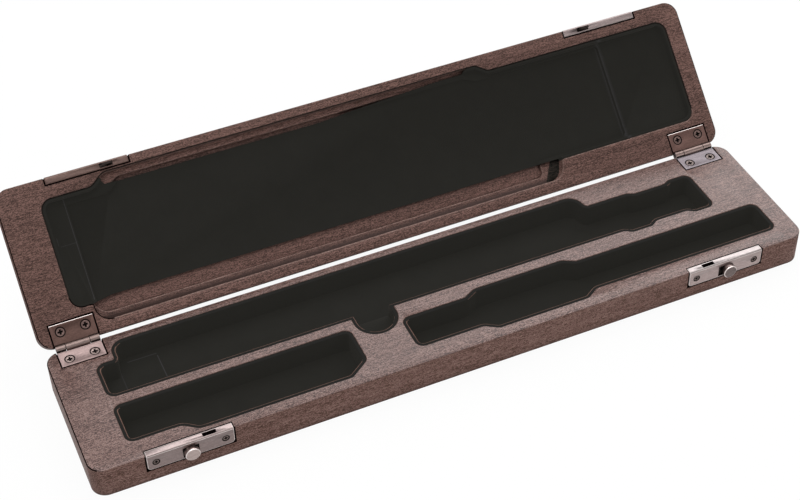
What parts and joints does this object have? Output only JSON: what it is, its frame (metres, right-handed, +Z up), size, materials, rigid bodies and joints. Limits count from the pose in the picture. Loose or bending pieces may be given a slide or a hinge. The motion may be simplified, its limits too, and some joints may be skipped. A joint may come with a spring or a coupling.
{
  "type": "flute case",
  "caption": "Slim flat wooden flute case, open, with a hinged recessed lid, sliding knob latches and velvet-lined pockets shaped to the joints of a flute.",
  "frame": {"origin": "centre of the base's flat underside, on the surface that the case lies on", "axes": "+X along the case's length to the right as seen from the latches, +Y from the latches towards the hinges, +Z up out of the pockets"},
  "size_m": [0.408, 0.165, 0.082],
  "materials": {
    "walnut": "satin, straight-grained dark walnut",
    "velvet": "short-pile black velvet",
    "nickel": "satin nickel plate",
    "screw_steel": "satin nickel plate, slightly darker"
  },
  "bodies": {
    "base": {"base_shell": "walnut", "body_pocket_lining": "velvet", "foot_pocket_lining": "velvet", "head_pocket_lining": "velvet", "left_hinge_base_leaf": "nickel", "left_hinge_pin": "screw_steel", "right_hinge_base_leaf": "nickel", "right_hinge_pin": "screw_steel", "left_hinge_base_screws": "screw_steel", "right_hinge_base_screws": "screw_steel", "left_latch_plate": "nickel", "left_latch_screws": "screw_steel", "left_latch_spring": "screw_steel", "right_latch_plate": "nickel", "right_latch_screws": "screw_steel", "right_latch_spring": "screw_steel"},
    "lid": {"lid_shell": "walnut", "lid_lining": "velvet", "left_hinge_lid_leaf": "nickel", "right_hinge_lid_leaf": "nickel", "left_hinge_lid_screws": "screw_steel", "right_hinge_lid_screws": "screw_steel", "left_strike_plate": "nickel", "left_strike_hook": "nickel", "left_strike_screws": "screw_steel", "right_strike_plate": "nickel", "right_strike_hook": "nickel", "right_strike_screws": "screw_steel"},
    "left_slide": {"left_latch_bolt": "screw_steel", "left_latch_knob": "nickel"},
    "right_slide": {"right_latch_bolt": "screw_steel", "right_latch_knob": "nickel"}
  },
  "joints": [
    {"name": "lid_hinge", "type": "hinge", "parent": "base", "child": "lid", "pos_m": [0, 0.0446, 0.0191], "axis": [1, 0, 0], "range_deg": [0, 136.7]},
    {"name": "left_latch_slide", "type": "slide", "parent": "base", "child": "left_slide", "axis": [1, 0, 0], "range_m": [-0.0017, 0.0017]},
    {"name": "right_latch_slide", "type": "slide", "parent": "base", "child": "right_slide", "axis": [-1, 0, 0], "range_m": [-0.0002, 0.0032]}
  ]
}
